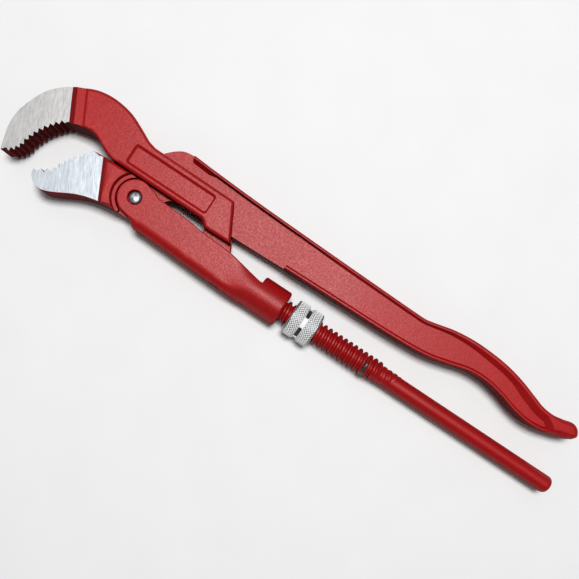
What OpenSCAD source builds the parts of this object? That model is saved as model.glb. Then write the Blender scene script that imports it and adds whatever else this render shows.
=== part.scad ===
// Swedish pattern pipe wrench with S shaped jaws, nominal size 1 inch, about 320 mm long.
// It lies flat on its side. X runs along the threaded leg from the hook jaw to the grips,
// Y points from the threaded leg to the long handle, Z is the thickness. All lengths in mm.
// The shapes are drawn from the pivot axis and moved once, at the end, to the resting frame.

/* [Parts to show] */

/* [Forgings] */
// Full thickness of the painted arm and of the hook
arm_t = 18; // [14:0.5:22]
// Thickness across the ground faces of both jaws
jaw_t = 16; // [12:0.5:20]
// Thickness of the thin web that links the lower jaw to its handle
web_t = 6; // [4:0.5:8]
// Thickness of the same web further out, between the ribs of the long handle
grip_web_t = 10; // [6:0.5:13]
// Width of the slots in the arm and in the fork around that web
slot_t = 6.6; // [4.6:0.1:9]
// Thickness across the edge ribs of the long handle
rib_t = 14; // [10:0.5:16]
// Width of the edge ribs of the long handle
rib_w = 2.2; // [1.5:0.1:4]
// Depth of the panel sunk in each side of the arm
panel_depth = 1; // [0.4:0.1:2]

/* [Teeth] */
// Distance from one tooth to the next along the jaw
tooth_pitch = 2.75; // [2:0.05:4]
// Height of a tooth
tooth_h = 1.5; // [0.8:0.1:2.2]

/* [Threaded leg] */
// Outer diameter of the thread
thread_d = 11.8; // [9:0.1:14]
// Diameter at the bottom of the thread and of the round grip
core_d = 8.8; // [7:0.1:11]
// Pitch of the thread
thread_pitch = 3; // [2:0.5:4]
// Free end of the round grip, measured from the pivot axis
leg_end = 248.6; // [200:0.1:280]

/* [Sleeve, nut and pin] */
// Outer diameter of the tube end of the sleeve
tube_d = 19; // [16:0.5:22]
// Radius of the round head of the fork
head_r = 8.9; // [7:0.1:10]
// Outer diameter of the adjusting nut
nut_d = 18.8; // [15:0.1:22]
// Length of the adjusting nut
nut_len = 14.5; // [10:0.5:20]
// Diameter of the pivot pin
pin_d = 6.2; // [4:0.1:8]

/* [Hidden] */
axis_y = -5.4;                 // the threaded leg runs along X at this Y
bore_d = thread_d + 0.8;       // bore of sleeve and nut over the thread
body_t = 17;                   // thickness of the fork and of the painted part of the lower jaw
fork_end = 74.8;               // the fork becomes the tube here
tube_end = 90.1;
nut_x = 95;
pin_clear = 0.05;              // running fit of the pin in its holes
x_mid = 88.85;                 // middle of the whole tool, measured from the pivot axis
y_mid = 6.2;
rest = tube_d / 2;             // height of the middle plane over the surface it lies on
big = 400;
$fn = 64;
red = [0.72, 0.14, 0.14];
steel = [0.8, 0.81, 0.83];

// smooth curve through a few points; m0 and m1 are its directions at b and c
function bend(a, b, c, d, t) =
    let (long = norm(c - b),
         m0 = (c - a) * long / (long + norm(b - a)),
         m1 = (d - b) * long / (long + norm(d - c)))
    b + m0 * t + (3 * (c - b) - 2 * m0 - m1) * t * t + (2 * (b - c) + m0 + m1) * t * t * t;
function smooth(p, n = 4) =
    [for (i = [0 : len(p) - 2]) for (k = [0 : n - 1])
        bend(p[max(i - 1, 0)], p[i], p[i + 1], p[min(i + 2, len(p) - 1)], k / n),
     p[len(p) - 1]];
function polar(c, r, a) = [c[0] + r * cos(a), c[1] + r * sin(a)];

// a row of teeth on a circle from angle a0 to a1; the valleys lie tooth_h further out,
// or further in when depth is negative
function teeth(c, r, a0, a1, depth) =
    let (n = max(1, round(abs(a1 - a0) * PI / 180 * r / tooth_pitch)), s = (a1 - a0) / n)
    [for (i = [0 : n - 1]) each [polar(c, r, a0 + s * i), polar(c, r + depth, a0 + s * (i + 0.5))]];

// the two seats of the S shaped bite of each jaw
hook_seat = [-25.7, -14.6];
hook_lip = [-70.3, -5.8];
low_seat = [-8.7, -20];
low_lip = [-51, -2.5];

hook_back = smooth([[-67.5, -16.5], [-70.3, -6.6], [-70.9, -0.7], [-70.1, 5.9], [-65.3, 17.9],
    [-58.9, 25.1], [-51.9, 29.7], [-43.7, 33.6], [-34.3, 34.8], [-24, 33.3], [-14.1, 29.1],
    [-9.4, 26.8], [-5, 25.6]]);
hook_throat = smooth([[-17, 9.3], [-20, 9.4], [-25.5, 11.3], [-32, 14.5], [-36, 15],
    [-41, 14.2], [-47.6, 12.6]]);

module arm_outline() {
    polygon(concat(
        hook_back,
        [[41.2, 25.2], [49.6, 9.8], [51.4, 6.35], [36.6, 6.35], [35.3, 6.9], [33.4, 8.8], [32, 9.3]],
        hook_throat,
        teeth(hook_seat, 34.4, 131, 168.6, tooth_h),
        teeth(hook_lip, 11.2, -12, -68, -tooth_h)));
}

module crank_outline() {
    polygon([[36, axis_y], [36, 7.6], [36.4, 8], [50.6, 8], [51.4, 7.4], [53.6, 3], [56, 0.2],
             [60, axis_y]]);
}

// everything on the side where the teeth are, left of the line where the grinding ends
module ground_side(top, low) {
    polygon([top + 8 * (top - low) / norm(top - low), low - 8 * (top - low) / norm(top - low),
             [-90, low[1] - 60], [-90, top[1] + 30]]);
}

module panel(a, b, r) {
    translate([a[0] + r, a[1] + r]) offset(r) square([b[0] - a[0] - 2 * r, b[1] - a[1] - 2 * r]);
}

module layer(t) {
    translate([0, 0, -t / 2]) linear_extrude(t) children();
}

module along_leg() {
    translate([0, axis_y, 0]) rotate([0, 90, 0]) rotate_extrude() children();
}

// profile of the leg: solid neck, ridges of the thread, bare grip with a rounded end
module leg_profile() {
    r = thread_d / 2;
    c = core_d / 2;
    ridges = [for (x = [63 : thread_pitch : 147])
        each [[c, x], [c, x + 0.7], [r, x + 1.4], [r, x + 2.1]]];
    polygon(concat([[0, 36], [r - 0.6, 36], [r, 36.6], [r, 62]], ridges,
        [[c, 150], [c, leg_end - 2], [c - 0.5, leg_end - 0.7], [c - 1.6, leg_end], [0, leg_end]]));
}

module upper_jaw_leg() {
    color(red) {
        difference() {
            layer(arm_t) arm_outline();
            // slot for the web of the lower jaw, open to the top and to the handle side
            layer(slot_t) translate([-20, -20]) square([100, 80]);
            for (side = [-1, 1]) translate([0, 0, side * (arm_t / 2 + 5)]) {
                layer(10 + 2 * panel_depth) panel([-13.5, 11.6], [33.2, 22.2], 1.5);
                layer(10 + arm_t - jaw_t) ground_side([-54.4, 27.4], [-46.6, 12.3]);
                layer(10.6) ground_side([-48.3, 30.2], [-40.4, 14.1]);
            }
        }
        layer(web_t) crank_outline();
        layer(slot_t + 2) intersection() {
            arm_outline();
            crank_outline();
        }
        along_leg() leg_profile();
    }
}

low_back = smooth([[-48.9, -15.4], [-48.5, -17.7], [-46.1, -20.6], [-42.6, -22.3], [-39.3, -22],
    [-34.4, -19.9], [-26.9, -15.8], [-20, -12.8], [-13, -11.2], [-6, -10.5], [0, -10.4]]);

module low_jaw_outline() {
    polygon(concat(
        [[-1, 8.7], [-14, 8.6], [-22, 8.5], [-27.5, 8.1], [-31.4, 7.2]],
        teeth(low_seat, 33.8, 130, 160.5, -tooth_h),
        teeth(low_lip, 12.1, -22, -79, tooth_h),
        low_back));
}

handle_top = smooth([[-0.9, 26.7], [2.7, 30.2], [6.2, 32.5], [9.9, 33.4], [14.3, 33.4],
    [24, 32.8], [53, 31.5], [98, 30.3], [130, 29.6], [146, 29.3], [151.5, 29.4], [157.5, 30.7],
    [166.2, 32.7], [177, 33.8], [187, 33.6], [197, 32.6], [207, 30.4], [217.5, 27], [222.5, 25.4],
    [228.5, 24.8], [234.5, 25.8], [239.5, 26.9], [242.8, 25.7], [244.8, 22.4], [243.7, 19.9]], 5);
handle_low = smooth([[243.7, 19.9], [240, 17.9], [230, 15.3], [220.4, 14.4], [211, 15.8],
    [203, 18.1], [195, 19.7], [189, 20.1], [182, 19.5], [172, 16.8], [164, 14.8], [156, 13.7],
    [139, 12.8], [98, 12], [52, 10.8], [33, 9.8], [17, 9.2]], 5);

module handle_outline() {
    polygon(concat(handle_top, handle_low,
        [[14.4, 8.7], [12.6, 7.2], [11.4, 4.6], [10.4, 0], [0, 0], [-8, 4], [-6.6, 9]]));
}

// the sunk side of the handle between its ribs ends in a round point before the grip's end
module recess_outline() {
    offset(0.8) offset(-0.8) intersection() {
        offset(-rib_w) handle_outline();
        polygon([[-20, -20], [235, -20], [232, 19], [226, 30], [226, 60], [-20, 60]]);
    }
}

module rib_region() {
    polygon([[13, 22], [13, 50], [260, 50], [260, 0], [79, 0], [79, 13], [90, 18], [120, 22]]);
}

module lower_jaw_handle() {
    color(red) difference() {
        union() {
            layer(web_t) {
                handle_outline();
                low_jaw_outline();
                circle(10.4);
            }
            layer(grip_web_t) intersection() {
                handle_outline();
                translate([73, -20]) square([200, 80]);
            }
            layer(rib_t) intersection() {
                difference() {
                    handle_outline();
                    recess_outline();
                }
                rib_region();
            }
            layer(12) difference() {
                low_jaw_outline();
                circle(9.8);
                translate([-4, -30]) square([60, 60]);
            }
            layer(body_t) difference() {
                low_jaw_outline();
                circle(12.4);
                translate([-4, -30]) square([60, 60]);
            }
        }
        for (side = [-1, 1]) translate([0, 0, side * (body_t / 2 + 5)])
            layer(10 + body_t - jaw_t) ground_side([-23.3, 7.2], [-14.9, -9.8]);
        translate([0, 0, -web_t]) cylinder(h = 2 * web_t, r = pin_d / 2 + pin_clear);
    }
}

fork_top = smooth([[10.5, 5.9], [14.6, 5.85], [24.4, 5.4], [30, 5.1], [34, 4.5], [39, 4.1],
    [53.7, 3.3], [61, 2.1], [68.3, 0.7], [72, 0], [fork_end + 0.4, -0.4]], 2);
fork_low = smooth([[fork_end + 0.4, -14.7], [66, -15.1], [58, -14.8], [33, -13.9], [13, -13.2],
    [6.6, -13.2]], 2);

module fork_outline() {
    circle(head_r);
    polygon(concat([[0, head_r], [3.6, 8.15], [8.2, 7.2]], fork_top, fork_low,
                   [[3, -9.8], [0, -head_r]]));
}

// section of the fork across the leg, with round lower edges
module fork_section() {
    r = 5;
    translate([-15.2 + r, -body_t / 2 + r]) offset(r) square([10, body_t - 2 * r]);
    translate([-6, -body_t / 2]) square([20, body_t]);
}

module sliding_sleeve() {
    color(red) difference() {
        union() {
            intersection() {
                layer(body_t) fork_outline();
                translate([-20, 0, 0]) rotate([90, 0, 90]) linear_extrude(110) fork_section();
            }
            along_leg() polygon([[0, fork_end], [tube_d / 2 - 0.8, fork_end],
                [tube_d / 2, fork_end + 0.8], [tube_d / 2, tube_end - 1],
                [tube_d / 2 - 1, tube_end], [0, tube_end]]);
        }
        // slot of the fork: right through around the tang, then open to the top
        layer(slot_t) {
            translate([-20, -30]) square([32.5, 60]);
            translate([0, axis_y]) square([70, 30]);
        }
        along_leg() translate([0, 12]) square([bore_d / 2, big]);
        translate([0, 0, -20]) cylinder(h = 40, r = pin_d / 2 + pin_clear);
        for (side = [-1, 1]) translate([0, 0, side * (body_t / 2 + 3.4)])
            cylinder(h = 10, r = 3.55, center = true);
    }
}

module adjusting_nut() {
    r = nut_d / 2;
    mid = nut_x + nut_len / 2;
    color(steel) difference() {
        along_leg() polygon([[bore_d / 2 + 0.8, nut_x], [r - 1, nut_x], [r, nut_x + 1],
            [r, mid - 1.4], [r - 0.9, mid - 1], [r - 0.9, mid + 1], [r, mid + 1.4],
            [r, nut_x + nut_len - 1], [r - 1, nut_x + nut_len], [bore_d / 2 + 0.8, nut_x + nut_len],
            [bore_d / 2, nut_x + nut_len - 0.8], [bore_d / 2, nut_x + 0.8]]);
        // windows milled in the groove between the two knurled rings
        for (a = [45 : 90 : 315]) translate([mid, axis_y, 0]) rotate([a, 0, 0])
            translate([0, 0, r]) cube([2, 7, 4.8], center = true);
    }
}

module pivot_pin() {
    r = pin_d / 2;
    h = body_t / 2 - 0.4;
    color(steel) rotate_extrude() polygon([[0, -h], [1.2, -h + 0.15], [2.3, -h + 0.6], [r, -h + 1.3],
        [r, h - 1.3], [2.3, h - 0.6], [1.2, h - 0.15], [0, h]]);
}

translate([-x_mid, -y_mid, rest]) {
    upper_jaw_leg();
    lower_jaw_handle();
    sliding_sleeve();
    adjusting_nut();
    pivot_pin();
}
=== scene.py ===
import math

import bmesh
import bpy
import numpy as np
from mathutils import Matrix, Vector
from mathutils.geometry import delaunay_2d_cdt

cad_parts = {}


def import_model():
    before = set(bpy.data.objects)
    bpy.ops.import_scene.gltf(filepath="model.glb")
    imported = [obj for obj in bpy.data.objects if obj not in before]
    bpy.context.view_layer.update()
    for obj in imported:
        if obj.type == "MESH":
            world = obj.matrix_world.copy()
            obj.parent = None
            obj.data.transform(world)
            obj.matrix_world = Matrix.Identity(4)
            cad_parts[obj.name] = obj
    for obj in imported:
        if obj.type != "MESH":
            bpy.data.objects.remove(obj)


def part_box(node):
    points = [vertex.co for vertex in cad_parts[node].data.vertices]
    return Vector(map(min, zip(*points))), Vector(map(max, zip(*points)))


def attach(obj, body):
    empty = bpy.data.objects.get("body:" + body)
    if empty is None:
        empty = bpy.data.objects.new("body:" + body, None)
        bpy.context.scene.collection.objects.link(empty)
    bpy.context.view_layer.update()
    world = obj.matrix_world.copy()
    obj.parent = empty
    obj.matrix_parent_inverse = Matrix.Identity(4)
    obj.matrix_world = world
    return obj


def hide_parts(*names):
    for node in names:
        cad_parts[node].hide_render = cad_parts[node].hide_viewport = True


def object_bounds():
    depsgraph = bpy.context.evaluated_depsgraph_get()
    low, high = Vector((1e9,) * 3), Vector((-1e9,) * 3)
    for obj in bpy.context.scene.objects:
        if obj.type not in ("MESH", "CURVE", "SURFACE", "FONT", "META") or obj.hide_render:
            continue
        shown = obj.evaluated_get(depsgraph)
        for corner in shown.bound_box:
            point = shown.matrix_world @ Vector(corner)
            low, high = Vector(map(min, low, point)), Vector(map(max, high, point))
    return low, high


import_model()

cad_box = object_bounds()

# ---------------------------------------------------------------- sizes, in mm from the pivot axis
MM = 0.001
pin_low, pin_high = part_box("pivot_pin")
PIVOT = (Vector(pin_low) + Vector(pin_high)) / 2     # the pivot axis in the row frame, in metres

ARM_Z = 9.0          # half thickness of the painted arm and hook
GROUND_Z = 8.0       # half thickness across the ground faces of the jaws
SLOPE_TOP = 10       # height at which the sloped wall beside a ground face would end
BODY_Z = 8.5         # half thickness of the fork and of the painted part of the lower jaw
WEB_Z = 3.0          # half thickness of the thin web between lower jaw and handle
GRIP_WEB_Z = 5.0     # half thickness of the web further out, between the ribs of the grip
SLOT_Z = 3.3         # half width of the slots around the thin web
RIB_Z = 7.0          # half thickness across the ribs of the handle
RECESS_X = 13.5      # where the sunk side of the handle starts
GRIP_X = 78          # where it gets its second rib
GRIP_END = 227.5     # where the two ribs of the grip come together
PANEL_DEPTH = 1.0    # of the sunk panel in the arm
LAP = 0.02           # by which a cut goes past a face that it meets
OUTSIDE = 12         # a height past every face, for cuts that go right through
TOOTH_PITCH = 2.75
TOOTH_H = 1.5
LEG_Y = -5.4         # axis of the threaded leg
LEG_START = 36.0
LEG_END = 248.6
THREAD_START = 60.0  # ends of the stretch of the leg that has the thread
THREAD_END = 162.0
CREST_R = 5.9        # radius of the thread over its ridges
CORE_R = 4.4         # and in its grooves, and of the plain grip
THREAD_PITCH = 3.0
THREAD_PHASE = 117.37   # a groove faces the handle here
STAKE_X = 139.1      # the hammered groove, where it faces up
STAKE_R = 5.25       # radius that it is filled to
BORE_R = 6.3         # bore of the sleeve and of the nut
HEAD_R = 8.9         # round head of the fork
FORK_END = 74.8
TUBE_END = 90.1
TUBE_R = 9.5
NUT_X = 95.0         # near end of the nut
NUT_LEN = 14.5
NUT_R = 9.4
KNURLS = 40          # diamonds around the nut
KNURL_DEPTH = 0.42
GROOVE_HALF = 1.35   # half width of the groove between its two rings
PIN_R = 3.1
PIN_HALF = 8.1       # half length of the pin
PIN_FIT = 0.05       # gap around the pin
HOLE_R = 3.55        # wider mouth of the pin's hole


# ---------------------------------------------------------------- outlines
def smooth(points, steps=8):
    """A smooth curve through a few points."""
    p = [np.array(q, float) for q in points]
    out = []
    for i in range(len(p) - 1):
        a, b = p[max(i - 1, 0)], p[i]
        c, d = p[i + 1], p[min(i + 2, len(p) - 1)]
        long = math.dist(b, c)
        m0 = (c - a) * long / (long + math.dist(a, b))
        m1 = (d - b) * long / (long + math.dist(c, d))
        for k in range(steps):
            t = k / steps
            out.append(b + m0 * t + (3 * (c - b) - 2 * m0 - m1) * t * t
                       + (2 * (b - c) + m0 + m1) * t ** 3)
    out.append(p[-1])
    return [tuple(q) for q in out]


def polar(c, r, deg):
    a = math.radians(deg)
    return (c[0] + r * math.cos(a), c[1] + r * math.sin(a))


def teeth(c, r, a0, a1, depth):
    """A row of pointed teeth on a circle; each valley lies depth further out."""
    n = max(1, round(math.radians(abs(a1 - a0)) * r / TOOTH_PITCH))
    s = (a1 - a0) / n
    out = []
    for i in range(n):
        a = a0 + s * i
        out += [polar(c, r + 0.05 * np.sign(depth), a - 0.05 * s), polar(c, r, a + 0.05 * s),
                polar(c, r + depth, a + s * 0.46), polar(c, r + depth, a + s * 0.54)]
    return out


def even(points, step):
    """Adds points along long straight stretches, so that widths and heights can blend."""
    out = []
    for a, b in zip(points, points[1:] + points[:1]):
        n = max(1, int(math.dist(a, b) / step))
        out += [tuple(np.array(a) + (np.array(b) - np.array(a)) * k / n) for k in range(n)]
    return out


HOOK_BACK = smooth([(-67.5, -16.5), (-70.3, -6.6), (-70.9, -0.7), (-70.1, 5.9), (-65.3, 17.9),
                    (-58.9, 25.1), (-51.9, 29.7), (-43.7, 33.6), (-34.3, 34.8), (-24, 33.3),
                    (-14.1, 29.1), (-9.4, 26.8), (-5, 25.6)])
HOOK_THROAT = smooth([(-17, 9.3), (-20, 9.4), (-25.5, 11.3), (-32, 14.5), (-36, 15),
                      (-41, 14.2), (-47.6, 12.6)])
ARM_END = smooth([(49.4, 10.2), (50.2, 8.6), (51.2, 6.6)], 3)
LIP = smooth([(37.4, 6.35), (36.2, 6.5), (35.2, 7.1), (33.6, 8.6), (32.4, 9.2), (30.5, 9.3)], 4)
ARM = (HOOK_BACK + [(40.6, 25.2), (41.3, 25.0), (41.7, 24.5)] + ARM_END + LIP + HOOK_THROAT
       + teeth((-25.7, -14.6), 34.4, 131, 168.6, TOOTH_H)
       + teeth((-70.3, -5.8), 11.2, -12, -68, -TOOTH_H))

LOW_BACK = smooth([(-48.9, -15.4), (-48.5, -17.7), (-46.1, -20.6), (-42.6, -22.3), (-39.3, -22),
                   (-34.4, -19.9), (-26.9, -15.8), (-20, -12.8), (-13, -11.2), (-6, -10.5),
                   (0, -10.4)])
LOW_JAW = ([(-1, 8.7)] + smooth([(-14, 8.6), (-22, 8.5), (-27.5, 8.1), (-30.2, 7.5), (-31.2, 7)], 3)
           + teeth((-8.7, -20), 33.8, 130, 160.5, -TOOTH_H)
           + teeth((-51, -2.5), 12.1, -22, -79, TOOTH_H) + LOW_BACK)

HANDLE_TOP = smooth([(-0.9, 26.7), (2.7, 30.2), (6.2, 32.5), (9.9, 33.4), (14.3, 33.4), (24, 32.8),
                     (53, 31.5), (98, 30.3), (130, 29.6), (146, 29.3), (151.5, 29.4),
                     (157.5, 30.7), (166.2, 32.7), (177, 33.8), (187, 33.6), (197, 32.6),
                     (207, 30.4), (217.5, 27), (222.5, 25.4), (228.5, 24.8), (234.5, 25.8),
                     (239.5, 26.9), (242.8, 25.7), (244.8, 22.4), (243.7, 19.9)], 10)
HANDLE_LOW = smooth([(243.7, 19.9), (240, 17.9), (230, 15.3), (220.4, 14.4), (211, 15.8),
                     (203, 18.1), (195, 19.7), (189, 20.1), (182, 19.5), (172, 16.8), (164, 14.8),
                     (156, 13.7), (139, 12.8), (98, 12), (52, 10.8), (33, 9.8), (17, 9.2)], 10)
TANG = [polar((0, 0), 10.4, a) for a in range(0, -181, -6)]
HANDLE = (HANDLE_TOP[:-1] + HANDLE_LOW
          + smooth([(14.6, 8.8), (12.8, 7.3), (11.5, 4.6), (10.5, 0.6)], 4) + TANG
          + [(-9.4, 4.4), (-6.8, 9.2)])

FORK_TOP = smooth([(10.5, 5.9), (14.6, 5.85), (24.4, 5.4), (30, 5.1), (34, 4.5), (39, 4.1),
                   (53.7, 3.3), (61, 2.1), (68.3, 0.7), (72, 0), (FORK_END, -0.4), (77.4, -0.8)])
FORK_LOW = smooth([(77.4, -14.7), (72, -14.8), (66, -15.1), (58, -14.8), (33, -13.9),
                   (13, -13.2), (7.4, -13.2)])
FORK = ([polar((0, 0), HEAD_R, a) for a in range(252, 66, -4)]
        + smooth([(4.6, 7.9), (6.6, 7.4), (8.4, 6.6), (9.6, 6.05)], 3) + FORK_TOP + FORK_LOW
        + smooth([(6.2, -12.8), (3, -9.9), (0.5, -9.1)], 3)[:-1])


# ---------------------------------------------------------------- mesh helpers
def to_frame(x, y, z):
    return (PIVOT.x + x * MM, PIVOT.y + y * MM, PIVOT.z + z * MM)


def from_frame(p):
    return ((p.x - PIVOT.x) / MM, (p.y - PIVOT.y) / MM, (p.z - PIVOT.z) / MM)


def mesh_object(name, verts, faces):
    """A closed mesh from points in mm around the pivot axis."""
    me = bpy.data.meshes.new(name)
    me.from_pydata([to_frame(*v) for v in verts], [], faces)
    me.update()
    bm = bmesh.new()
    bm.from_mesh(me)
    bmesh.ops.recalc_face_normals(bm, faces=bm.faces)
    bm.to_mesh(me)
    bm.free()
    o = bpy.data.objects.new(name, me)
    bpy.context.scene.collection.objects.link(o)
    return o


def clean_loop(points):
    """The points as an array, without repeats, counterclockwise."""
    p = [np.array(q, float) for q in points]
    p = [q for i, q in enumerate(p) if np.hypot(*(q - p[i - 1])) > 0.02]
    p = np.array(p)
    x, y = p[:, 0], p[:, 1]
    area = np.sum(x * np.roll(y, -1) - np.roll(x, -1) * y)
    return p if area > 0 else p[::-1]


def inward(p):
    """At each point of a counterclockwise loop, the move that insets both edges by one."""
    e = np.roll(p, -1, 0) - p
    e /= np.linalg.norm(e, axis=1)[:, None]
    n = np.stack([-e[:, 1], e[:, 0]], 1)
    m = n + np.roll(n, 1, 0)
    k = 1 + np.sum(n * np.roll(n, 1, 0), 1)
    return m / np.maximum(k, 0.6)[:, None]


def edge_distance(q, loop):
    """Distance from each point to a closed outline."""
    a, b = loop, np.roll(loop, -1, 0)
    ab = b - a
    out = np.empty(len(q))
    for k in range(0, len(q), 400):
        part = q[k:k + 400]
        ap = part[:, None, :] - a[None]
        t = np.clip(np.sum(ap * ab, 2) / np.sum(ab * ab, 1), 0, 1)
        out[k:k + 400] = np.sqrt(np.min(np.sum((ap - t[..., None] * ab) ** 2, 2), 1))
    return out


def round_edge(d, reach, drop, top):
    """Height of a face whose edge is rounded over a width reach and a height drop."""
    s = np.clip(d / np.maximum(reach, 0.02), 0, 1)
    return top - drop * (1 - np.sqrt(np.maximum(0, 1 - (1 - s) ** 2)))


def forged(name, points, shape, height=None, inner=()):
    """A flat forging with the same shape on both sides of the middle plane.

    shape(x, y) gives the width and the height of its round edge and the height of its face;
    height(x, y, z) may change that height, and inner points help to follow it."""
    loop = clean_loop(points)
    n = len(loop)
    move = inward(loop)
    reach = shape(loop[:, 0], loop[:, 1])[0]
    cloud = [loop]
    insets = [reach * (1 - math.cos(math.radians(deg))) for deg in range(15, 91, 15)]
    insets.append(np.where(reach > 0.03, reach + 0.5, 0))      # keeps the face inside it flat
    for t in insets:
        q = loop + move * t[:, None]
        cloud.append(q[(t > 0.03) & (edge_distance(q, loop) > 0.95 * t)])
    if len(inner):
        q = np.array(inner, float)
        cloud.append(q[edge_distance(q, loop) > 0.8])
    pts = np.vstack(cloud)
    flat, _, tris, origin, _, _ = delaunay_2d_cdt(
        [Vector(v) for v in pts], [], [list(range(n))], 1, 1e-4)
    used = sorted({i for f in tris for i in f})
    row = {i: k for k, i in enumerate(used)}
    xy = np.array([flat[i] for i in used])
    z = round_edge(edge_distance(xy, loop), *shape(xy[:, 0], xy[:, 1]))
    if height:
        z = height(xy[:, 0], xy[:, 1], z)
    at = {i: row[k] for k in used for i in origin[k] if i < n}
    m = len(used)
    verts = [(x, y, h) for (x, y), h in zip(xy, z)] + [(x, y, -h) for (x, y), h in zip(xy, z)]
    faces = [tuple(row[i] for i in f) for f in tris]
    faces += [tuple(row[i] + m for i in reversed(f)) for f in tris]
    rim = [at[i] for i in range(n) if i in at]
    for a, b in zip(rim, rim[1:] + rim[:1]):
        faces.append((b, a, a + m, b + m))
    return mesh_object(name, verts, faces)


def prism(name, low, z_low, high, z_high):
    """A solid between two polygons of as many points at two heights."""
    n = len(low)
    verts = [(x, y, z_low) for x, y in low] + [(x, y, z_high) for x, y in high]
    faces = [(i, (i + 1) % n, n + (i + 1) % n, n + i) for i in range(n)]
    faces += [tuple(range(n - 1, -1, -1)), tuple(range(n, 2 * n))]
    return mesh_object(name, verts, faces)


def ring_faces(rings, steps):
    """Faces of a closed solid made of rings that have as many points each."""
    faces = []
    for i in range(rings - 1):
        for k in range(steps):
            j = (k + 1) % steps
            faces.append((i * steps + k, i * steps + j, (i + 1) * steps + j, (i + 1) * steps + k))
    return faces + [tuple(range(steps)), tuple(range((rings - 1) * steps, rings * steps))]


def around(steps):
    """Evenly spaced angles of a full turn."""
    return 2 * np.pi * np.arange(steps) / steps


def skin(name, rows, angle):
    """A solid about the leg's axis, from (x, radii) rows with a radius for each angle."""
    verts = [(x, LEG_Y + r * math.cos(a), r * math.sin(a)) for x, radii in rows
             for r, a in zip(radii, angle)]
    return mesh_object(name, verts, ring_faces(len(rows), len(angle)))


def turned(name, profile, steps=96):
    """A solid turned about the leg's axis, from (radius, x) points."""
    return skin(name, [(x, np.full(steps, r)) for r, x in profile], around(steps))


def post(name, rings, steps=72):
    """A round solid about the pivot axis, from (radius, z) rings."""
    verts = [(r * math.cos(a), r * math.sin(a), z) for r, z in rings for a in around(steps)]
    return mesh_object(name, verts, ring_faces(len(rings), steps))


def apply_modifiers(o):
    """Puts the result of an object's modifiers in the place of its mesh."""
    dg = bpy.context.evaluated_depsgraph_get()
    me = bpy.data.meshes.new_from_object(o.evaluated_get(dg), depsgraph=dg)
    o.modifiers.clear()
    old = o.data
    o.data = me
    me.name = o.name
    bpy.data.meshes.remove(old)


def combine(o, other, how):
    """Joins other to o, or cuts it away, and deletes it."""
    mod = o.modifiers.new("cut", "BOOLEAN")
    mod.operation, mod.object, mod.solver = how, other, "MANIFOLD"
    apply_modifiers(o)
    if len(o.data.polygons) == 0:
        raise RuntimeError("boolean gave nothing: " + o.name + " " + other.name)
    gone = other.data
    bpy.data.objects.remove(other)
    bpy.data.meshes.remove(gone)


def cut(o, other):
    combine(o, other, "DIFFERENCE")


def join(o, other):
    combine(o, other, "UNION")


def soften(o, angle=32, line=None):
    """Shades smooth, with sharp edges over an angle, and along a slanted line of any angle."""
    bm = bmesh.new()
    bm.from_mesh(o.data)
    bmesh.ops.remove_doubles(bm, verts=bm.verts, dist=0.01 * MM)
    bmesh.ops.dissolve_degenerate(bm, edges=bm.edges, dist=0.005 * MM)
    bm.to_mesh(o.data)
    bm.free()
    o.data.shade_smooth()
    o.data.set_sharp_from_angle(angle=math.radians(angle))
    if line:
        along = Vector((line[0][0] - line[1][0], line[0][1] - line[1][1], 0)).normalized()
        bm = bmesh.new()
        bm.from_mesh(o.data)
        for e in bm.edges:
            step = e.verts[0].co - e.verts[1].co
            if abs(step.normalized().dot(along)) > 0.998 and len(e.link_faces) == 2:
                if e.calc_face_angle(0) > math.radians(5):
                    e.smooth = False
        bm.to_mesh(o.data)
        bm.free()


def flatten_normals(o):
    """Lets the large flat faces set the shading, so that only the narrow edges look round."""
    mod = o.modifiers.new("normals", "WEIGHTED_NORMAL")
    mod.mode, mod.weight, mod.keep_sharp = "FACE_AREA", 50, True
    apply_modifiers(o)


# ---------------------------------------------------------------- materials
def new_material(name):
    m = bpy.data.materials.new(name)
    m.use_nodes = True
    nt = m.node_tree
    return m, nt, nt.nodes["Principled BSDF"]


def node(nt, kind, values):
    """A new node with values for its inputs."""
    n = nt.nodes.new(kind)
    for key, v in values.items():
        n.inputs[key].default_value = v
    return n


def coords(nt, stretch=1, angle=0):
    """Object coordinates; a stretch draws the pattern out along a direction, in degrees from X."""
    tc = nt.nodes.new("ShaderNodeTexCoord")
    mp = node(nt, "ShaderNodeMapping", {"Scale": (1, 1 / stretch, 1),
                                        "Rotation": (0, 0, math.radians(angle))})
    mp.vector_type = "TEXTURE"
    nt.links.new(tc.outputs["Object"], mp.inputs["Vector"])
    return mp.outputs["Vector"]


def noise(nt, vector, scale, detail, rough):
    n = node(nt, "ShaderNodeTexNoise", {"Scale": scale, "Detail": detail, "Roughness": rough})
    nt.links.new(vector, n.inputs["Vector"])
    return n.outputs["Fac"]


def ramp(nt, fac, stops):
    n = nt.nodes.new("ShaderNodeValToRGB")
    e = n.color_ramp.elements
    while len(e) < len(stops):
        e.new(0.5)
    for item, (pos, col) in zip(e, stops):
        item.position = pos
        item.color = (*col, 1)
    nt.links.new(fac, n.inputs["Fac"])
    return n.outputs["Color"]


def remap(nt, fac, low, high, a, b):
    """Values from low to high, moved to a to b."""
    n = node(nt, "ShaderNodeMapRange", {"From Min": low, "From Max": high, "To Min": a, "To Max": b})
    nt.links.new(fac, n.inputs["Value"])
    return n.outputs["Result"]


def mixed(nt, how, factor, a, b):
    """Two colours mixed; how is the blend type."""
    n = nt.nodes.new("ShaderNodeMix")
    n.data_type, n.blend_type = "RGBA", how
    n.inputs["Factor"].default_value = factor
    nt.links.new(a, n.inputs["A"])
    nt.links.new(b, n.inputs["B"])
    return n.outputs["Result"]


def reckon(nt, operation, *values):
    """A math node on one or two values."""
    n = nt.nodes.new("ShaderNodeMath")
    n.operation = operation
    for value, socket in zip(values, n.inputs):
        nt.links.new(value, socket)
    return n.outputs["Value"]


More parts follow.
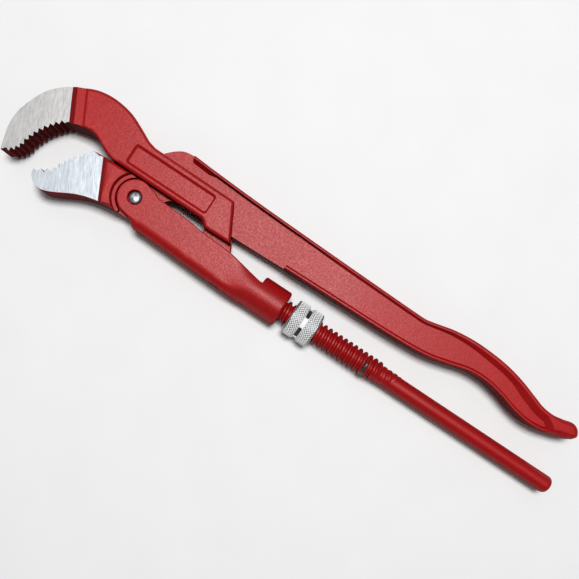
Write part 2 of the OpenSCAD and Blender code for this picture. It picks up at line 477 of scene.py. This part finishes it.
def bump(nt, height, strength, distance, below=None):
    n = node(nt, "ShaderNodeBump", {"Strength": strength, "Distance": distance * MM})
    nt.links.new(height, n.inputs["Height"])
    if below is not None:
        nt.links.new(below, n.inputs["Normal"])
    return n.outputs["Normal"]


def red_paint(name, shade_tone):
    """Thick textured red paint over a forging; the second argument, under 1, darkens all of it as
    painted shade.
    """
    m, nt, bsdf = new_material(name)
    v = coords(nt)
    speckle = noise(nt, v, 1100, 4, 0.62)
    cloud = noise(nt, v, 60, 3, 0.5)
    fine = ramp(nt, speckle, [(0.3, (0.25, 0.002, 0.002)), (0.5, (0.37, 0.003, 0.004)),
                              (0.72, (0.5, 0.01, 0.012))])
    broad = ramp(nt, cloud, [(0.3, (0.34, 0.002, 0.003)), (0.7, (0.42, 0.005, 0.006))])
    red = mixed(nt, "MIX", 0.35, fine, broad)
    # painted shade: the base colour is darkened on walls and slopes by how far they tilt from the flat
    # faces; they are also made rougher and less glossy
    tc = nt.nodes.new("ShaderNodeTexCoord")
    split = nt.nodes.new("ShaderNodeSeparateXYZ")
    nt.links.new(tc.outputs["Normal"], split.inputs["Vector"])
    up = reckon(nt, "ABSOLUTE", split.outputs["Z"])
    shade = ramp(nt, up, [(0.05, [0.3 * shade_tone] * 3), (0.4, [0.8 * shade_tone] * 3),
                          (0.965, [0.74 * shade_tone] * 3), (0.997, [shade_tone] * 3)])
    nt.links.new(mixed(nt, "MULTIPLY", 1, red, shade), bsdf.inputs["Base Color"])
    rough = reckon(nt, "ADD", remap(nt, speckle, 0.3, 0.7, 0.5, 0.36), remap(nt, up, 0.15, 0.7, 0.35, 0))
    nt.links.new(rough, bsdf.inputs["Roughness"])
    nt.links.new(remap(nt, up, 0.1, 0.6, 0.08, 0.27), bsdf.inputs["Specular IOR Level"])
    soft = bump(nt, noise(nt, v, 260, 3, 0.5), 0.35, 0.25)
    nt.links.new(bump(nt, speckle, 0.6, 0.14, soft), bsdf.inputs["Normal"])
    return m


def ground_steel(name, angle, tint):
    """Bare steel, ground flat with fine parallel scratches."""
    m, nt, bsdf = new_material(name)
    lines = noise(nt, coords(nt, 9, angle), 260, 4, 0.65)
    broad = noise(nt, coords(nt, 4, angle), 90, 3, 0.5)
    fine = noise(nt, coords(nt, 40, angle), 500, 2, 0.6)
    light = [min(1.0, c * 1.2) for c in tint]
    dark = [c * 0.62 for c in tint]
    nt.links.new(mixed(nt, "MIX", 0.4, ramp(nt, lines, [(0.3, dark), (0.65, light)]),
                       ramp(nt, broad, [(0.3, [c * 0.85 for c in tint]), (0.7, light)])),
                 bsdf.inputs["Base Color"])
    bsdf.inputs["Metallic"].default_value = 0.85
    nt.links.new(remap(nt, lines, 0.3, 0.7, 0.56, 0.44), bsdf.inputs["Roughness"])
    nt.links.new(bump(nt, fine, 0.25, 0.05, bump(nt, lines, 0.3, 0.08)), bsdf.inputs["Normal"])
    return m


def zinc():
    """Zinc plated turned steel, bright with faint mottling."""
    m, nt, bsdf = new_material("zinc_plate")
    v = coords(nt)
    mottle = noise(nt, v, 500, 4, 0.6)
    nt.links.new(ramp(nt, mottle, [(0.3, (0.22, 0.23, 0.24)), (0.7, (0.4, 0.41, 0.42))]),
                 bsdf.inputs["Base Color"])
    bsdf.inputs["Metallic"].default_value = 0.95
    nt.links.new(remap(nt, mottle, 0.3, 0.7, 0.56, 0.42), bsdf.inputs["Roughness"])
    nt.links.new(bump(nt, noise(nt, v, 1500, 3, 0.5), 0.2, 0.03), bsdf.inputs["Normal"])
    return m


def shaded_zinc():
    """The same plating, darkened as painted shade for the deep faces of the nut's windows."""
    m, nt, bsdf = new_material("zinc_painted_shade")
    v = coords(nt)
    nt.links.new(ramp(nt, noise(nt, v, 600, 3, 0.6), [(0.3, (0.03, 0.03, 0.032)),
                                                      (0.7, (0.1, 0.1, 0.105))]),
                 bsdf.inputs["Base Color"])
    bsdf.inputs["Metallic"].default_value = 0.7
    bsdf.inputs["Roughness"].default_value = 0.5
    return m


def pin_steel():
    """Bright drawn steel with turning marks."""
    m, nt, bsdf = new_material("pin_steel")
    v = coords(nt)
    smudge = noise(nt, v, 700, 3, 0.5)
    nt.links.new(ramp(nt, smudge, [(0.35, (0.16, 0.16, 0.17)), (0.6, (0.55, 0.56, 0.6))]),
                 bsdf.inputs["Base Color"])
    bsdf.inputs["Metallic"].default_value = 1.0
    nt.links.new(remap(nt, smudge, 0.3, 0.7, 0.6, 0.45), bsdf.inputs["Roughness"])
    nt.links.new(bump(nt, noise(nt, v, 2200, 2, 0.5), 0.15, 0.02), bsdf.inputs["Normal"])
    return m


def worn_steel():
    """Bare dark steel where the paint is knocked off."""
    m, nt, bsdf = new_material("worn_steel")
    v = coords(nt)
    patch = noise(nt, v, 900, 3, 0.6)
    nt.links.new(ramp(nt, patch, [(0.35, (0.03, 0.016, 0.014)), (0.7, (0.15, 0.1, 0.09))]),
                 bsdf.inputs["Base Color"])
    bsdf.inputs["Metallic"].default_value = 0.7
    nt.links.new(remap(nt, patch, 0.3, 0.7, 0.5, 0.35), bsdf.inputs["Roughness"])
    nt.links.new(bump(nt, patch, 0.4, 0.08), bsdf.inputs["Normal"])
    return m


def pale_floor():
    m, nt, bsdf = new_material("pale_floor")
    nt.links.new(ramp(nt, noise(nt, coords(nt), 30, 2, 0.5),
                      [(0.3, (0.79, 0.79, 0.79)), (0.7, (0.81, 0.81, 0.81))]),
                 bsdf.inputs["Base Color"])
    bsdf.inputs["Roughness"].default_value = 0.9
    return m


RED = red_paint("red_paint", 1)
# a copy of the red paint at 0.6: painted shade for the slopes beside the ground faces
SHADED_RED = red_paint("red_paint_shaded_slope", 0.6)
HOOK_STEEL = ground_steel("ground_steel_hook", 112, (0.41, 0.405, 0.4))
LOW_STEEL = ground_steel("ground_steel_low", 116, (0.4, 0.425, 0.455))
ZINC = zinc()
PIN_STEEL = pin_steel()
WORN_STEEL = worn_steel()
# darker zinc: painted shade in the nut's windows
SHADED_ZINC = shaded_zinc()


def paint_ground_faces(o, steel, line):
    """Bare steel on the flat ground faces, left of a slanted line, and the darker red of painted shade
    on the slope there.
    """
    o.data.materials.clear()
    for m in (RED, steel, SHADED_RED):
        o.data.materials.append(m)
    for f in o.data.polygons:
        x, y, h = from_frame(f.center)
        past = beyond(line, x, y)
        tilt = abs(f.normal.z)
        if tilt > 0.93 and abs(abs(h) - GROUND_Z) < 0.12 and past < 0:
            f.material_index = 1
        elif 0.9 < tilt < 0.998 and abs(h) > GROUND_Z - 0.1 and 0 < past < 3.2:
            # painted shade: the slope beside the ground face gets the darker red
            f.material_index = 2


# ---------------------------------------------------------------- upper jaw and threaded leg
def blend(x, a, b):
    """0 below a, 1 above b, smooth between."""
    t = np.clip((np.asarray(x, float) - a) / (b - a), 0, 1)
    return t * t * (3 - 2 * t)


def beyond(line, x, y):
    """Signed distance from a slanted line, positive on the painted side."""
    (x0, y0), (x1, y1) = line
    return ((x - x0) * (y0 - y1) + (y - y0) * (x1 - x0)) / math.dist(line[0], line[1])


HOOK_LINE = ((-54.4, 27.4), (-46.6, 12.3))     # where the grinding of the hook ends
HOOK_STEP = ((-48.3, 30.2), (-40.5, 15.1))     # thin step behind it
LOW_LINE = ((-23.3, 7.2), (-14.9, -9.8))


def arm_edge(x, y):
    painted = blend(beyond(HOOK_LINE, x, y), 0, 6)
    throat = (x < -16) & (y < 16) & (x > -50)
    w = np.where(throat, 0.6, 1.0) * painted
    return 1.7 * w, 1.9 * w, ARM_Z + 0 * w


def slab_left_of(name, line, low, slope, side):
    """What is ground off above height low, left of a line; the wall there is slope wide."""
    a, b = np.array(line[0]), np.array(line[1])
    u = (a - b) / np.linalg.norm(a - b)
    out = np.array([u[1], -u[0]])
    if out[0] < 0:
        out = -out
    a, b = a + u * 22, b - u * 22          # past the edges of the jaw
    far = -out * 60
    base = [a, b, b + far, a + far]
    top = [base[0] + out * slope, base[1] + out * slope, base[2], base[3]]
    return prism(name, base, side * low, top, side * SLOPE_TOP)


def rounded(a, b, r, steps=6):
    """A rectangle from corner a to corner b with round corners."""
    out = []
    for cx, cy, start in ((b[0] - r, b[1] - r, 0), (a[0] + r, b[1] - r, 90),
                          (a[0] + r, a[1] + r, 180), (b[0] - r, a[1] + r, 270)):
        out += [polar((cx, cy), r, start + 90 * k / steps) for k in range(steps + 1)]
    return out


def staked(x, angle):
    """How much a place on the thread belongs to the groove that is hammered shut, 0 to 1.

    The angle about the leg is 0 toward the handle and a quarter turn on the upper side."""
    upper = blend(angle, 1.05, 1.5) * (1 - blend(angle, 3.0, 3.6))
    along = np.abs(x - (STAKE_X + THREAD_PITCH * (angle - np.pi / 2) / (2 * np.pi)))
    return upper * (1 - blend(along, 0.7, 1.5))


def thread_solid():
    """The leg as one turned skin: solid neck, helical thread, bare grip with a round end."""
    angle = around(96)
    xs = np.concatenate([[LEG_START, LEG_START + 0.2], np.arange(LEG_START + 0.6, THREAD_START, 2.0),
                         np.arange(THREAD_START, THREAD_END, 0.16),
                         np.arange(THREAD_END, LEG_END - 2.2, 3.0)])
    rows = []
    for x in xs:
        s = ((x - THREAD_PHASE) / THREAD_PITCH - angle / (2 * np.pi)) % 1.0
        crest = np.clip((0.5 - 0.5 * np.cos(2 * np.pi * s)) * 1.3 - 0.08, 0, 1)
        full = 1 - blend(x, 143.5 + 1.5 * np.cos(angle), 149 + 1.5 * np.cos(angle))
        shallow = 0.28 * (1 - blend(x, 152 + 4 * np.cos(angle), 155.5 + 4 * np.cos(angle)))
        fade = np.maximum(full, shallow)
        start = blend(x, THREAD_START + 0.5, THREAD_START + 3)
        r = CORE_R + (CREST_R - CORE_R) * (crest * start * fade + 1 - start)
        r = r + (STAKE_R + 0.3 * blend(angle, 2.2, 3.0) - r) * 0.9 * staked(x, angle)
        if x < LEG_START + 0.1:
            r = r - 0.6
        rows.append((x, r))
    for dx, dr in ((-2.2, 0), (-1.7, 0.1), (-1.2, 0.3), (-0.7, 0.62), (-0.3, 1.1), (-0.08, 1.55),
                   (0, 2.1)):
        rows.append((LEG_END + dx, np.full(len(angle), CORE_R - dr)))
    return skin("leg_skin", rows, angle)


def upper_jaw():
    o = forged("upper_jaw_forging", even(ARM, 1.6), arm_edge)
    # ground faces with a sloped edge, then the thin step
    for side in (1, -1):
        cut(o, slab_left_of("ground", HOOK_LINE, GROUND_Z, 7.4, side))
        cut(o, slab_left_of("step", HOOK_STEP, ARM_Z - 0.3, 5.6, side))
        cut(o, prism("panel", rounded((-12.2, 13.0), (32.3, 21.2), 0.8), side * (ARM_Z - PANEL_DEPTH),
                     rounded((-14.2, 10.9), (33.9, 23.4), 2.0), side * (ARM_Z + 0.6)))
    slot = [(-20, -30), (36, -30), (36, 8), (90, 8), (90, 60), (-20, 60)]
    cut(o, prism("slot", slot, -SLOT_Z, slot, SLOT_Z))
    crank = smooth([(36, LEG_Y), (36, 6.5), (36.3, 7.5), (37.4, 8.3)], 3) + smooth(
        [(49.5, 8.3), (50.8, 7.8), (51.6, 6.8), (53.4, 3), (56, 0.2), (60, LEG_Y)], 4)
    join(o, forged("crank", even(crank, 2.0),
                   lambda x, y: (0.6 + 0 * x, 0.8 + 0 * x, WEB_Z + 0 * x)))
    join(o, thread_solid())
    soften(o, 32, HOOK_LINE)
    flatten_normals(o)
    paint_ground_faces(o, HOOK_STEEL, HOOK_LINE)
    o.data.materials.append(WORN_STEEL)
    for f in o.data.polygons:
        x, y, z = from_frame(f.center)
        if 135 < x < 145 and z > -6 and staked(x, math.atan2(z, y - LEG_Y) % (2 * math.pi)) > 0.45:
            f.material_index = 3
    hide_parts("upper_jaw_leg")
    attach(o, "fixed_leg")


# ---------------------------------------------------------------- lower jaw and handle
def handle_edge(x, y):
    """Round edges along the ribs, growing into the crowned end of the grip."""
    under = blend(21.5 - y, -1.5, 2.5)
    rib = np.where((y < 23) & (x > 16), 0.7, 1.1)
    crown = blend(x, 227, 236)
    reach = rib + (2.6 + 2.0 * under - rib) * crown
    drop = 1.3 + (2.2 + 2.2 * under - 1.3) * crown
    return reach, drop, RIB_Z + 0 * x


def handle_side(upper, x_min, x_max, inset):
    """One long side of the handle's outline, moved inward by inset(x), from left to right."""
    loop = clean_loop(HANDLE)
    out = []
    for (x, y), m in zip(loop, inward(loop)):
        here = (y > 22 and m[1] < 0) if upper else (y < 22 and m[1] > 0)
        if here and x_min < x < x_max:
            out.append(tuple((x, y) + m * inset(x)))
    return sorted(out)


def near_recess(h):
    """The sunk side of the handle near the pivot, h 0 at the web and 1 at the top of the rib.

    It has a rib above only, and runs out through the lower edge."""
    def inset(x):
        at_web = 1.9 + 1.1 * (1 - blend(x, 23.5, 25.5))
        return at_web + (1.3 - at_web) * h
    up = handle_side(True, RECESS_X, GRIP_X, inset)
    start, end = RECESS_X - 0.8 * h, GRIP_X + 1.6
    return ([(start, 50), (start, up[0][1])] + up
            + [(end, up[-1][1]), (end - 0.7 * h, -30), (-30, -30), (-30, 50)])


def grip_inset(x, h):
    """Width of the upper rib of the grip, h 0 at the web and 1 at its top."""
    wide = blend(x, 150, 195)
    at_web = 1.8 + 0.6 * blend(x, 80, 110) + 1.9 * wide + 0.9 * blend(x, 203, 214)
    return at_web + (1.3 + 0.6 * wide - at_web) * h


def grip_recess(h):
    """The shallower sunk side between the two ribs of the grip; it comes to a point at the end."""
    up = handle_side(True, GRIP_X, GRIP_END, lambda x: grip_inset(x, h))
    low = handle_side(False, GRIP_X, GRIP_END, lambda x: 2.3 - 1.1 * h)
    tip = [(228.6 + 3.4 * h, 18.3 + 1.5 * h), (229.2 + 3.8 * h, 17.8 + 1.2 * h),
           (228.6 + 3.4 * h, 17.3 + 0.9 * h)]
    return [(GRIP_X - 0.5, up[0][1])] + up + tip + low[::-1] + [(GRIP_X - 0.5, low[0][1])]


def web_hollow():
    """Where the web is still thinner than in the rest of the grip."""
    up = handle_side(True, GRIP_X, 127, lambda x: grip_inset(x, 0))
    low = handle_side(False, GRIP_X, 127, lambda x: 2.3)
    return [(GRIP_X - 0.5, up[0][1])] + up + low[::-1] + [(GRIP_X - 0.5, low[0][1])]


def web_ramp():
    """Lets the thin web grow to the thicker one of the grip in one long gentle slope."""
    outline = (handle_side(False, 60, 80, lambda x: 0.03) + handle_side(False, 80, 133, lambda x: 1.7)
               + handle_side(True, 60, 133, lambda x: grip_inset(x, 0) - 0.5)[::-1])
    return forged("ramp", outline, lambda x, y: (0 * x, 0 * x, GRIP_WEB_Z + 0 * x),
                  lambda x, y, z: WEB_Z - 0.2 + (z - WEB_Z + 0.21) * blend(x, 58, 121),
                  [(x, y) for x in np.arange(62, 132, 3) for y in np.arange(12.5, 30, 3)])


def jaw_edge(x, y):
    w = blend(beyond(LOW_LINE, x, y), 0, 5)
    w = np.maximum(w, 0.35 * blend(-y, 12, 15) * blend(x, -47, -40))
    # painted strip above the ground face, lower than it
    strip = blend(x, -30.5, -24) * (y > 2) * (1 - blend(x, -14, -8))
    top = GROUND_Z + 0.03 + (BODY_Z - GROUND_Z - 0.03) * blend(beyond(LOW_LINE, x, y), -1.5, -0.5)
    return np.maximum(1.3 * w, 1.9 * strip), np.maximum(1.5 * w, 1.5 * strip), top


def lower_jaw():
    o = forged("lower_jaw_forging", even(HANDLE, 2.0), handle_edge,
               inner=[(x, y) for x in np.arange(228, 245, 1.3) for y in np.arange(15, 27, 1.1)])
    over = 1.25                           # the walls go on past the top of the ribs
    for side in (1, -1):
        cut(o, prism("recess", near_recess(0), side * WEB_Z, near_recess(over),
                     side * (WEB_Z + (RIB_Z - WEB_Z) * over)))
        cut(o, prism("grip_recess", grip_recess(0), side * GRIP_WEB_Z, grip_recess(over),
                     side * (GRIP_WEB_Z + (RIB_Z - GRIP_WEB_Z) * over)))
        cut(o, prism("hollow", web_hollow(), side * WEB_Z, web_hollow(), side * (GRIP_WEB_Z + 0.1)))
    join(o, web_ramp())
    jaw = forged("jaw", even(LOW_JAW, 1.6), jaw_edge)
    for side in (1, -1):
        cut(jaw, slab_left_of("ground", LOW_LINE, GROUND_Z, 7.2, side))
        # round shoulder around the head of the fork, in two steps
        cut(jaw, post("shoulder", [(11.7, side * 6.1), (12.9, side * 10)]))
        cut(jaw, post("recess", [(9.6, side * (WEB_Z - LAP)), (10.3, side * 7)]))
        right = [(-4, -40), (60, -40), (60, 40), (-4, 40)]
        cut(jaw, prism("right", right, side * (WEB_Z - LAP), right, side * OUTSIDE))
    over_jaw = [(-40, 8.9), (40, 8.9), (40, 60), (-40, 60)]
    cut(jaw, prism("over", over_jaw, -OUTSIDE, over_jaw, OUTSIDE))
    join(o, jaw)
    cut(o, post("bore", [(PIN_R + PIN_FIT, -6), (PIN_R + PIN_FIT, 6)]))
    soften(o, 22, LOW_LINE)
    flatten_normals(o)
    paint_ground_faces(o, LOW_STEEL, LOW_LINE)
    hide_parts("lower_jaw_handle")
    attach(o, "handle")


# ---------------------------------------------------------------- sleeve
def fork_edge(x, y):
    low = blend(-y, 5, 8) * blend(x, 1.5, 9)
    r = 0.6 + 4.2 * low
    return r, r, BODY_Z + 0 * r


def fork_height(x, y, z):
    """Turns the flat faces into the round of the tube, and ends just below its surface."""
    tube = np.sqrt(np.maximum(0.04, TUBE_R ** 2 - (y - LEG_Y) ** 2)) - 0.4 * blend(x, 75.4, 77)
    return z + (tube - z) * blend(x, 56, FORK_END)


def sleeve():
    o = forged("sleeve_body", even(FORK, 1.6), fork_edge, fork_height,
               [(x, y) for x in np.arange(54, 78, 1.0) for y in np.arange(-14.2, 3, 0.7)])
    tube = [(TUBE_R - 1.1, FORK_END - 0.2), (TUBE_R - 0.5, FORK_END), (TUBE_R - 0.15, FORK_END + 0.35),
            (TUBE_R, FORK_END + 0.9), (TUBE_R, TUBE_END - 1.3), (TUBE_R - 0.12, TUBE_END - 0.8),
            (TUBE_R - 0.45, TUBE_END - 0.35), (TUBE_R - 1.1, TUBE_END)]
    join(o, turned("tube", tube, 120))
    through = [(-20, -40), (12.5, -40), (12.5, 40), (-20, 40)]
    cut(o, prism("through", through, -SLOT_Z, through, SLOT_Z))
    upper = [(10, LEG_Y), (69, LEG_Y), (70, LEG_Y + 1), (70, 40), (10, 40)]
    cut(o, prism("upper", upper, -SLOT_Z, upper, SLOT_Z))
    cut(o, turned("bore", [(BORE_R, 12), (BORE_R, TUBE_END - 0.7), (BORE_R + 0.9, TUBE_END + 0.2),
                           (BORE_R + 0.9, TUBE_END + 2)]))
    cut(o, post("pin_hole", [(PIN_R + PIN_FIT, -OUTSIDE), (PIN_R + PIN_FIT, OUTSIDE)]))
    for side in (1, -1):
        cut(o, post("mouth", [(HOLE_R, side * 5.2), (HOLE_R, side * 8.1), (HOLE_R + 0.5, side * 8.7),
                              (HOLE_R + 0.5, side * 10)]))
    soften(o)
    flatten_normals(o)
    o.data.materials.clear()
    o.data.materials.append(RED)
    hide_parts("sliding_sleeve")
    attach(o, "sleeve")


def pin():
    dome = [(1.2, 8.02), (2.1, 7.82), (2.7, 7.5), (3.0, 7.1), (PIN_R, 6.6)]
    end = [(0.35, PIN_HALF)] + dome
    o = post("pivot_pin_steel", end + [(r, -z) for r, z in end[::-1]], 64)
    soften(o, 40)
    o.data.materials.append(PIN_STEEL)
    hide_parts("pivot_pin")
    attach(o, "sleeve")


# ---------------------------------------------------------------- nut
def triangle_wave(t):
    return np.abs((t % 1.0) - 0.5) * 2


def knurled(start, end, angle):
    """Rows of one knurled ring of the nut, with its edges rolled off."""
    pitch = 2 * math.pi * NUT_R / KNURLS
    turn = KNURLS * angle / (2 * np.pi)
    rows = []
    for x in np.linspace(start, end, int((end - start) / 0.13)):
        edge = min(x - start, end - x)
        depth = KNURL_DEPTH * float(blend(edge, -0.1, 0.45))
        both = np.minimum(triangle_wave(turn + x / pitch), triangle_wave(turn - x / pitch))
        peak = np.clip(both * 1.7, 0, 1)
        rows.append((x, NUT_R - 0.06 - depth * (1 - peak) - 0.28 * float(1 - blend(edge, 0, 0.3))))
    return rows


def nut():
    """Two diamond knurled rings with a groove between them, windows milled in the groove."""
    angle = around(KNURLS * 10)
    mid = NUT_X + NUT_LEN / 2
    end = NUT_X + NUT_LEN

    def plain(profile):
        return [(x, np.full(len(angle), NUT_R - depth)) for x, depth in profile]

    groove = [(mid + x, depth) for x, depth in (
        (-1.15, 0.75), (-1.0, 0.9), (-0.5, 1.2), (0, 1.3), (0.5, 1.2), (1.0, 0.9), (1.15, 0.75))]
    rows = (plain([(NUT_X, 1.2), (NUT_X + 0.12, 0.75), (NUT_X + 0.5, 0.35)])
            + knurled(NUT_X + 0.8, mid - GROOVE_HALF, angle) + plain(groove)
            + knurled(mid + GROOVE_HALF, end - 0.8, angle)
            + plain([(end - 0.5, 0.35), (end - 0.12, 0.75), (end, 1.2)]))
    o = skin("knurled_nut", rows, angle)
    mouth = BORE_R + 1.0
    cut(o, turned("bore", [(mouth, NUT_X - 2), (mouth, NUT_X), (BORE_R, NUT_X + 1.0),
                           (BORE_R, end - 1.0), (mouth, end), (mouth, end + 2)]))
    window = rounded((mid - 1.0, -3.5), (mid + 1.0, 3.5), 0.4)
    to_axis = Matrix.Translation(Vector(to_frame(0, LEG_Y, 0)))
    from_pivot = Matrix.Translation(-Vector(to_frame(0, 0, 0)))
    for k in range(4):
        w = prism("window", window, NUT_R - 2.5, window, NUT_R + 2)
        w.data.transform(to_axis @ Matrix.Rotation(math.radians(45 + 90 * k), 4, "X") @ from_pivot)
        cut(o, w)
    soften(o, 38)
    # The cuts leave an empty slot in front of these three. So slot 0 shows Blender's plain grey on the
    # rings, slot 1 is the zinc, in the valleys, and slot 2 the darkened zinc of painted shade, on a few
    # faces of the windows.
    for m in (ZINC, SHADED_ZINC, WORN_STEEL):
        o.data.materials.append(m)
    for f in o.data.polygons:
        x, y, z = from_frame(f.center)
        r = math.hypot(y - LEG_Y, z)
        # painted shade: the deep faces of the windows get the darkened zinc
        shaded_window = abs(x - mid) < 1.1 and BORE_R + 0.02 < r < NUT_R - 1.4
        # painted shade: the knurl's valleys, picked by depth, get a darker slot than the rings
        shaded_valley = abs(x - mid) > 1.4 and NUT_R - 0.6 < r < NUT_R - 0.3
        f.material_index = 2 if shaded_window else 1 if shaded_valley else 0
    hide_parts("adjusting_nut")
    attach(o, "nut")


upper_jaw()
lower_jaw()
sleeve()
pin()
nut()


# ---------------------------------------------------------------- floor, light and camera
FLOOR_HALF = 3.0                 # half width of the floor, in metres
FLOOR_GAP = 0.0002               # between the floor and the tool, in metres
ROLL = math.radians(33.6)        # the leg points down to the right in the picture
VIEW_X = 87.4                    # the camera looks straight down from here, in mm
VIEW_Y = -25.4
VIEW_HEIGHT = 348                # over the middle plane
VIEW_WIDTH = 288.06              # how much of the middle plane the picture is wide
VIEW_SHIFT = (0.0585, 0.088)     # share of the picture that the view is moved by
SENSOR = 36


def floor():
    """A pale floor a little under the tool."""
    me = bpy.data.meshes.new("floor")
    s = FLOOR_HALF
    me.from_pydata([(-s, -s, 0), (s, -s, 0), (s, s, 0), (-s, s, 0)], [], [(0, 1, 2, 3)])
    o = bpy.data.objects.new("floor", me)
    bpy.context.scene.collection.objects.link(o)
    o.location.z = cad_box[0].z - FLOOR_GAP
    me.materials.append(pale_floor())


def lamp(name, at, size, power):
    """A soft rectangular lamp aimed at the middle of the tool, in metres and watts."""
    data = bpy.data.lights.new(name, "AREA")
    data.shape, data.size, data.size_y = "RECTANGLE", size[0], size[1]
    data.energy = power
    o = bpy.data.objects.new(name, data)
    bpy.context.scene.collection.objects.link(o)
    o.location = at
    o.rotation_euler = (-Vector(at)).to_track_quat("-Z", "Y").to_euler()


def world():
    w = bpy.data.worlds.new("studio")
    bpy.context.scene.world = w
    w.use_nodes = True
    bg = w.node_tree.nodes["Background"]
    bg.inputs["Color"].default_value = (1, 1, 1, 1)
    bg.inputs["Strength"].default_value = 0.15


def camera():
    data = bpy.data.cameras.new("camera")
    o = bpy.data.objects.new("camera", data)
    bpy.context.scene.collection.objects.link(o)
    o.location = to_frame(VIEW_X, VIEW_Y, VIEW_HEIGHT)
    o.rotation_euler = (0, 0, ROLL)
    data.sensor_width = SENSOR
    data.lens = SENSOR * VIEW_HEIGHT / VIEW_WIDTH
    data.shift_x, data.shift_y = VIEW_SHIFT
    data.clip_start, data.clip_end = 0.01, 10
    bpy.context.scene.camera = o


floor()
world()
lamp("key", (-0.05, 0.2, 1.2), (0.36, 0.26), 14)
lamp("fill", (-0.3, 0.5, 1.5), (1.2, 1.2), 2)
camera()
bpy.context.scene.view_settings.view_transform = "Standard"
